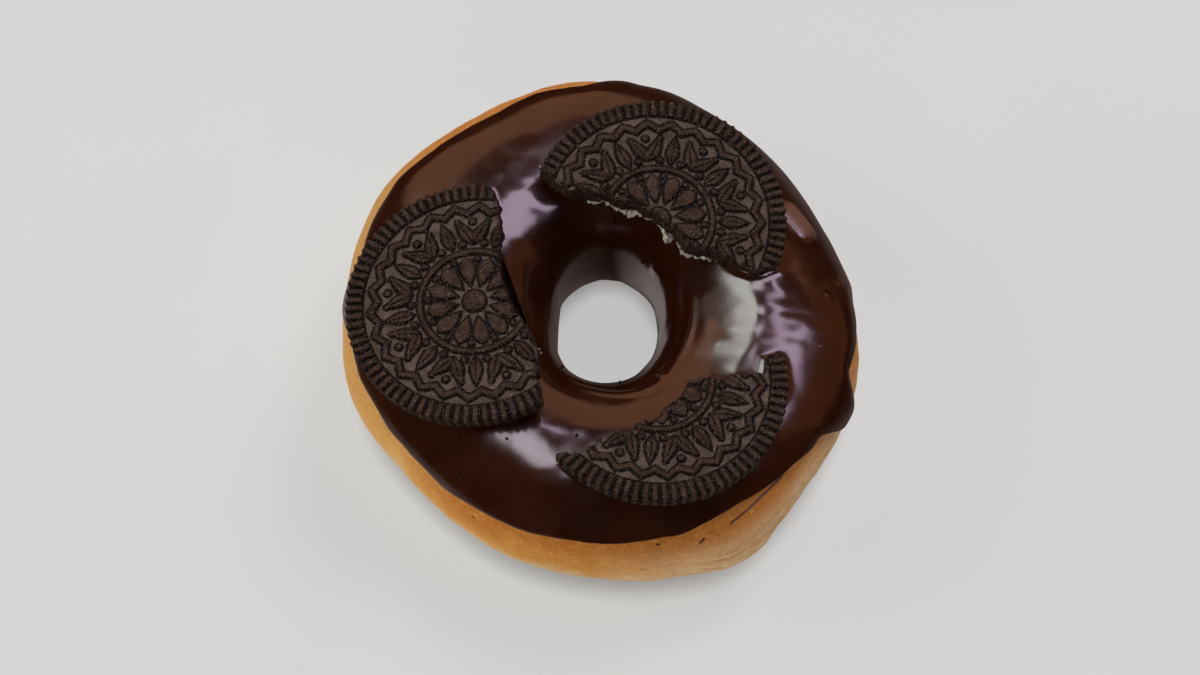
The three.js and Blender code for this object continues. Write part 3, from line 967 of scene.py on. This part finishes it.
def wafer_top(name, x, y, to_break, to_rim):
    """The upper face: its height, how far a place lies within its motifs, and how broken it is."""
    places = stacked(x, y, FACE_LEVEL * len(name))
    motif = motif_distance(*turned(x, y, -WAFERS[name]["spin"]))
    motif = motif + rough_noise.layers(places, MOTIF_WANDER)
    flank = smooth_step(-FLANK / 2, FLANK / 2, motif)
    crown = smooth_step(0, CROWN["reach"], motif)
    raised = (1 - CROWN["share"]) * flank + CROWN["share"] * crown
    worn = 1 - WEAR["share"] * smooth_step(*WEAR["slope"], noise.at(places, WEAR["size"]))
    height = WAFER_THICKNESS + RELIEF * raised * worn
    height -= GROOVE["depth"] * np.exp(-((motif + GROOVE["outside"]) / GROOVE["width"]) ** 2)
    height += GRAIN["depth"] * (noise.at(places, GRAIN["size"]) - 1)
    rounding = np.clip(to_rim / RIM_ROUNDING["reach"], 0, 1)
    height -= RIM_ROUNDING["depth"] * (1 - np.sqrt(1 - (1 - rounding) ** 2))
    crumbled = smooth_step(*CRUMBLE["near_break"], to_break)
    crumbled *= smooth_step(*CRUMBLE["slope"], noise.at(places, CRUMBLE["size"]))
    height -= CRUMBLE["depth"] * crumbled
    height -= BREAK_ROUNDING["depth"] * np.exp(-np.maximum(to_break, 0) / BREAK_ROUNDING["reach"])
    return height, motif, np.maximum(crumbled, smooth_step(*BROKEN_FACE, to_break))


def wall_move(places, share, is_break):
    """How far a wafer's wall stands out: rough along the break, and ridged round the rim."""
    x, y, level = places.T
    torn = rough_noise.layers(places, WALL_LUMPS) - WALL_HOLLOW * math.sin(math.pi * share)
    ridges = np.maximum(np.hypot(x, y) - (WAFER_RADIUS - RIDGE_PROUD), 0)
    rim = -ridges * smooth_step(*RIDGE_FEET, level)
    rim -= UNDERCUT["depth"] * max(0.0, (share - UNDERCUT["from"]) / (1 - UNDERCUT["from"])) ** 2
    return torn * is_break + rim * (1 - is_break)


def make_wafer(name, material):
    wafer = WAFERS[name]

    def within(x, y):
        return np.minimum(jagged_break(name, x, y), rim_distance(wafer, x, y))

    def move(places, share):
        return wall_move(places, share, is_break)

    x, y, quads, loop = grid_patch(WAFER_GRID, WAFER_RADIUS + 1, within)
    to_break = jagged_break(name, x, y)
    to_rim = rim_distance(wafer, x, y)
    height, motif, broken = wafer_top(name, x, y, to_break, to_rim)
    is_break = smooth_step(*BROKEN_WALL["to_break"], to_break[loop])
    is_break *= smooth_step(*BROKEN_WALL["to_rim"], to_rim[loop])
    local, walls = walled(x, y, height, loop, 0.0, WALL_ROWS, move)
    values = {
        "motif_mm": np.concatenate([motif, np.tile(motif[loop], WALL_ROWS)]),
        "broken": np.concatenate([broken, np.tile(is_break, WALL_ROWS)]),
    }
    points = to_part(wafer, *local.T)
    piece = add_mesh(name + "_biscuit", points, quads.tolist() + walls, material, values)
    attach(piece, "root")
    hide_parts(name)


# The icing.


def finger_nearness(points):
    """1 along the middle of the finger, and 0 at its sides and beyond."""
    ends = [ring_point(*np.radians(place), ICING_TOP) for place in FINGER_ENDS]
    gap = line_distance(points, ends)
    return (1 - np.clip(gap / FINGER_RADIUS, 0, 1) ** 2) ** FINGER_POWER


def crease_lift(angle, turn):
    """The ridge round the hole, with a shallow groove inside it."""
    degrees = (np.degrees(angle) - CREASE["start"]) % 360
    length = CREASE["end"] - CREASE["start"]
    strength = rise_and_fall((0, CREASE["fade"]), (length, length - CREASE["fade"]), degrees)
    sway = CREASE["sway"] * np.cos(CREASE["lobes"] * angle)
    inward = np.degrees(turn) - CREASE["turn"] - sway
    ridge = np.exp(-(inward / CREASE["width"]) ** 2)
    groove = np.exp(-((inward - CREASE["groove_at"]) / CREASE["width"]) ** 2)
    return CREASE["height"] * strength * (ridge - CREASE["groove_share"] * groove)


def hole_folds(angle, turn):
    """Soft folds that run down the wall of the hole."""
    radius = HOLE_FOLDS["radius"]
    around = stacked(radius * np.cos(angle), radius * np.sin(angle), HOLE_FOLDS["stretch"] * turn)
    start, end = map(math.radians, HOLE_FOLDS["turns"])
    folds = HOLE_FOLDS["depth"] * noise.at(around, HOLE_FOLDS["size"])
    return folds * smooth_step(start, end, turn)


def meniscus(points):
    """The icing that climbs a wafer's edge where the wafer has sunk into it."""
    climb = np.zeros(points.shape[:-1])
    for wafer in WAFERS.values():
        x, y, level = to_wafer(wafer, points)
        radius = np.hypot(x, y)
        close = radius < WAFER_RADIUS + MENISCUS["margin"]
        to_break = break_distance(wafer, x[close], y[close])
        outside = -np.minimum(to_break, WAFER_RADIUS - radius[close])
        sunk = smooth_step(*MENISCUS["levels"], level[close])
        fall = np.exp(-np.maximum(outside, 0) / MENISCUS["reach"])
        climb[close] += MENISCUS["rise"] * sunk * fall
    return climb


def icing_lift(angle, turn, start, end):
    """How far the icing's upper face stands off the dough."""
    inward = np.minimum(turn - start, end - turn) * SECTION_RADIUS
    inward = np.maximum(inward, 0)
    lip = np.sqrt(1 - (1 - np.minimum(inward / LIP_REACH, 1)) ** 2)
    swell = smooth_step(0, SWELL_REACH, inward)
    plain = ring_point(angle, turn, 0)
    coated = ring_point(angle, turn, ICING_TOP)
    waves = noise.layers(plain, ICING_RELIEF)
    top = ICING_TOP * (EDGE_SHARE + (1 - EDGE_SHARE) * swell) + waves * swell
    top = top + meniscus(coated) * swell
    for lump in (DRIP,) + SMALL_LUMPS:
        top = top + near_ring(angle, turn, lump)
    top = top + crease_lift(angle, turn) + hole_folds(angle, turn)
    for at_angle, at_turn, reach, depth in RIPPLED:
        near = near_ring(angle, turn, (at_angle, at_turn, reach, reach * RIPPLE["tall"], depth))
        top = top + near * noise.at(plain * RIPPLE["stretch"], RIPPLE["size"])
    top = top + FINGER_BULGE * finger_nearness(coated)
    return ICING_SUNK + (top - ICING_SUNK) * lip


def make_icing(material):
    angle = np.linspace(0, 2 * math.pi, ICING_COLUMNS, endpoint=False)[:, None]
    edge = np.radians(smooth_round(ICING_EDGE, angle))
    wander = noise.layers(ring_point(angle, edge, 0), EDGE_WANDER)
    start = edge + wander
    end = np.radians(wave_sum(ICING_HOLE_EDGE, ICING_HOLE_WAVES, angle)) + 2 * wander
    lip = LIP_REACH / SECTION_RADIUS
    rise = 1 - np.cos(np.linspace(0, math.pi / 2, LIP_ROWS, endpoint=False))[None, :]
    shares = np.linspace(0, 1, ICING_ROWS)[None, :]
    middle = (start + lip) * (1 - shares) + (end - lip) * shares
    turn = np.concatenate([start + lip * rise, middle, (end - lip * rise)[:, ::-1]], axis=1)
    wide = np.broadcast_to(angle, turn.shape)
    lift = icing_lift(wide, turn, start, end)
    upper = ring_point(wide, turn, lift)
    shares = np.linspace(0, 1, ICING_INNER_ROWS + 2)[None, 1:-1]
    back = end * (1 - shares) + start * shares
    lower = ring_point(np.broadcast_to(angle, back.shape), back, ICING_SUNK)
    loops = np.concatenate([upper, lower], axis=1)
    points = loops.reshape(-1, 3)
    values = {"finger_glow": smooth_step(0.0, FINGER_GLOW_REACH, finger_nearness(points))}
    piece = add_mesh("icing_coat", points, tube_faces(ICING_COLUMNS, loops.shape[1]), material, values)
    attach(piece, "root")
    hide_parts("icing")


# The cream.


def make_cream(material):
    wafer = WAFERS[CREAM_WAFER]

    def icing_level(x, y):
        """The icing below a place on the wafer's underside, in the wafer's own heights."""
        places = to_part(wafer, x, y, np.zeros(np.shape(x)))
        return icing_height(places[..., 0], places[..., 1], ICING_TOP) - places[..., 2]

    def within(x, y):
        ragged = rough_noise.layers(stacked(x, y, CREAM_EDGE_LEVEL), CREAM_EDGE)
        shows = sum(far * np.exp(-((x - along) / half) ** 4) for along, half, far in CREAM_SHOWS)
        to_edge = wave_sum(CREAM_RADIUS, CREAM_WAVES, np.arctan2(y, x)) - np.hypot(x, y)
        to_icing = -icing_level(x, y) - CREAM_GAP
        to_break = jagged_break(CREAM_WAFER, x, y) + shows - CREAM_SET_BACK + ragged
        return np.minimum(np.minimum(to_edge + ragged, to_break), to_icing)

    def move(places, share):
        bulge = CREAM_WALL_BULGE * math.sin(math.pi * share)
        return rough_noise.layers(places, CREAM_WALL_LUMPS) + bulge

    x, y, quads, loop = grid_patch(CREAM_GRID, CREAM_RADIUS + 2, within)
    past = smooth_step(*CREAM_PAST, jagged_break(CREAM_WAFER, x, y))
    lumps = rough_noise.layers(stacked(x, y, CREAM_TOP_LEVEL), CREAM_LUMPS)
    top = past * (CREAM_RISE + lumps) - CREAM_GAP
    base = np.maximum(icing_level(x[loop], y[loop]) - CREAM_DIP, -CREAM_THICKNESS)
    base = np.minimum(base, top[loop] - CREAM_GAP)
    local, walls = walled(x, y, top, loop, base, CREAM_ROWS, move)
    points = to_part(wafer, *local.T)
    piece = add_mesh("cream_filling", points, quads.tolist() + walls, material)
    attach(piece, "root")
    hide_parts("cream_upper")


# Crumbs that lie on the icing. A place is (angle, turn) in degrees, and a size in mm follows.

DARK_CRUMBS = (
    (262, 94.5, 0.35), (241, 78, 0.3), (231.5, 62.5, 0.3), (233, 64, 0.22), (229.5, 61, 0.25),
    (235, 43, 0.3), (234, 45, 0.22), (236.5, 42, 0.2), (241, 146.5, 0.3), (283.5, 147, 0.3),
    (53.5, 161, 0.28), (352, 88, 0.2), (300, 66, 0.22), (212, 110, 0.25), (80, 140, 0.25),
)
LIGHT_CRUMBS = (
    (114.5, 103, 0.4), (95, 125, 0.3), (223.5, 133.5, 0.35), (222, 131, 0.28), (226, 135, 0.25),
    (90, 128, 0.22), (345, 60, 0.12),
)
CRUMB_LUMPS = ((0.45, 0.9),)
CRUMB_STRETCH = (0.6, 1.25)
CRUMB_SEAT = 0.3


def crumb_shape(draw, size):
    form = bmesh.new()
    bmesh.ops.create_icosphere(form, subdivisions=2, radius=1)
    points = np.array([vertex.co for vertex in form.verts])
    faces = [[vertex.index for vertex in face.verts] for face in form.faces]
    form.free()
    lumps = 1 + rough_noise.layers(points + draw.uniform(0, 90, 3), CRUMB_LUMPS)
    stretch = draw.uniform(*CRUMB_STRETCH, 3)
    turn, _ = np.linalg.qr(draw.normal(size=(3, 3)))
    return (points * lumps[:, None] * stretch) @ turn * size, faces


def make_crumbs(name, places, material, seed):
    draw = np.random.default_rng(seed)
    points = []
    faces = []
    for angle, turn, size in places:
        shape, shape_faces = crumb_shape(draw, size)
        first = sum(map(len, points))
        seat = ring_point(math.radians(angle), math.radians(turn), ICING_TOP + CRUMB_SEAT * size)
        points.append(shape + seat)
        faces += [[first + corner for corner in face] for face in shape_faces]
    piece = add_mesh(name, np.concatenate(points), faces, material)
    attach(piece, "root")


# The stage, the lights and the camera.

LIGHT_DISTANCE = 1.5
# A light is (name, lean to +X, lean to +Y, roll, width, depth, brightness, colour), with its
# angles in degrees. The lamps light the surfaces, and the panels are what the gloss reflects.
LAMPS = (
    ("lamp_main", 22, 26, 0, 0.5, 0.5, 10.5, (1.0, 0.97, 0.94)),
    ("lamp_front", -8, -62, 0, 1.6, 0.8, 1.6, (1.0, 0.97, 0.92)),
    ("lamp_left", -62, 5, 0, 1.2, 0.8, 3.4, (0.97, 1.0, 0.9)),
    ("lamp_back", 0, 60, 0, 2.4, 0.8, 0.7, (1.0, 0.97, 0.94)),
)
PANELS = (
    ("panel_right", 23, -0.5, 24, 0.64, 1.1, 8.3, (0.92, 0.7, 0.94)),
    ("panel_right_top", 17, 22.5, 0, 0.6, 0.22, 8.0, (0.92, 0.7, 0.94)),
    ("panel_left", -23, 17, 20, 0.8, 0.42, 9.5, (0.97, 1.0, 0.96)),
    ("panel_left_high", -38, 30, 0, 0.7, 0.6, 0.8, (1.0, 0.88, 0.8)),
    ("panel_middle", -6, 6, -39, 0.4, 0.75, 9.0, (0.98, 0.88, 1.0)),
    ("panel_side", 66, 16, 0, 1.2, 1.1, 0.5, (1.0, 0.33, 0.12)),
    ("panel_back", 0, 56, 0, 2.4, 0.9, 1.4, (1.0, 0.45, 0.24)),
)
SKY_COLOUR = (0.014, 0.011, 0.011)
GROUND_FADE = (-0.2, -0.6)
# What the gloss sees low down: (how far to the left or right, colour).
GROUND_TONES = (
    (-0.75, (1.0, 0.84, 0.82)), (-0.12, (0.045, 0.035, 0.035)), (0.75, (0.25, 0.19, 0.17)),
)
CAMERA_TARGET = (-0.05, -2.93, 16.0)
CAMERA_ELEVATION = 65
CAMERA_DISTANCE = 550
CAMERA_LENS = 94.05


def make_floor(material):
    half = FLOOR_HALF
    corners = [(-half, -half, 0), (half, -half, 0), (half, half, 0), (-half, half, 0)]
    floor = add_mesh("floor", corners, [[0, 1, 2, 3]], material)
    floor.visible_glossy = False


def add_light(name, lean_x, lean_y, roll, width, depth, brightness, colour):
    """A rectangular light that leans from overhead, in degrees, and faces the doughnut."""
    lean = math.radians(math.hypot(lean_x, lean_y))
    bearing = math.atan2(lean_y, lean_x)
    aside = math.sin(lean)
    toward = Vector((aside * math.cos(bearing), aside * math.sin(bearing), math.cos(lean)))
    light = bpy.data.lights.new(name, "AREA")
    light.shape = "RECTANGLE"
    light.size = width
    light.size_y = depth
    light.energy = brightness * width * depth * math.pi
    light.color = colour
    lamp = bpy.data.objects.new(name, light)
    lamp.location = Vector(CAMERA_TARGET) * MM + toward * LIGHT_DISTANCE
    rolled = Quaternion((0, 0, 1), math.radians(roll))
    lamp.rotation_euler = (toward.to_track_quat("Z", "Y") @ rolled).to_euler()
    bpy.context.scene.collection.objects.link(lamp)
    return lamp


def make_lights():
    for values in LAMPS:
        add_light(*values).visible_glossy = False
    for values in PANELS:
        add_light(*values).visible_diffuse = False


def make_world():
    """A dark room, with a dim ground below it for the gloss near the floor."""
    world = bpy.data.worlds.new("studio")
    world.use_nodes = True
    nodes = Nodes(world.node_tree)
    place = nodes.node("ShaderNodeTexCoord").outputs["Generated"]
    parts = nodes.node("ShaderNodeSeparateXYZ", {"Vector": place}).outputs
    fade = {"Value": parts["Z"], "From Min": GROUND_FADE[0], "From Max": GROUND_FADE[1]}
    below = nodes.node("ShaderNodeMapRange", fade).outputs["Result"]
    aside = nodes.node("ShaderNodeMapRange", {"Value": parts["X"], "From Min": -1})
    ground = nodes.node("ShaderNodeValToRGB", {"Fac": aside.outputs["Result"]})
    stops = ground.color_ramp.elements
    stops.new(0.5)
    for stop, (far, tone) in zip(stops, GROUND_TONES):
        stop.position = (far + 1) / 2
        stop.color = (*tone, 1)
    colour = nodes.mix(below, SKY_COLOUR, ground.outputs["Color"])
    nodes.feed(nodes.tree.nodes["Background"].inputs["Color"], colour)
    bpy.context.scene.world = world


def make_camera():
    lens = bpy.data.cameras.new("camera")
    lens.lens = CAMERA_LENS
    lens.clip_start = 0.01
    camera = bpy.data.objects.new("camera", lens)
    elevation = math.radians(CAMERA_ELEVATION)
    back = Vector((0, -math.cos(elevation), math.sin(elevation)))
    camera.location = (Vector(CAMERA_TARGET) + back * CAMERA_DISTANCE) * MM
    camera.rotation_euler = (math.pi / 2 - elevation, 0, 0)
    bpy.context.scene.collection.objects.link(camera)
    bpy.context.scene.camera = camera


wafer_finish = wafer_material("wafer_biscuit")
cream_finish = cream_material()
make_dough(dough_material())
make_icing(icing_material())
for wafer_name in WAFERS:
    make_wafer(wafer_name, wafer_finish)
make_cream(cream_finish)
make_crumbs("crumbs_dark", DARK_CRUMBS, wafer_finish, SEED + 2)
make_crumbs("crumbs_light", LIGHT_CRUMBS, cream_finish, SEED + 3)
make_floor(floor_material())
make_lights()
make_world()
make_camera()
bpy.context.scene.view_settings.view_transform = "Standard"
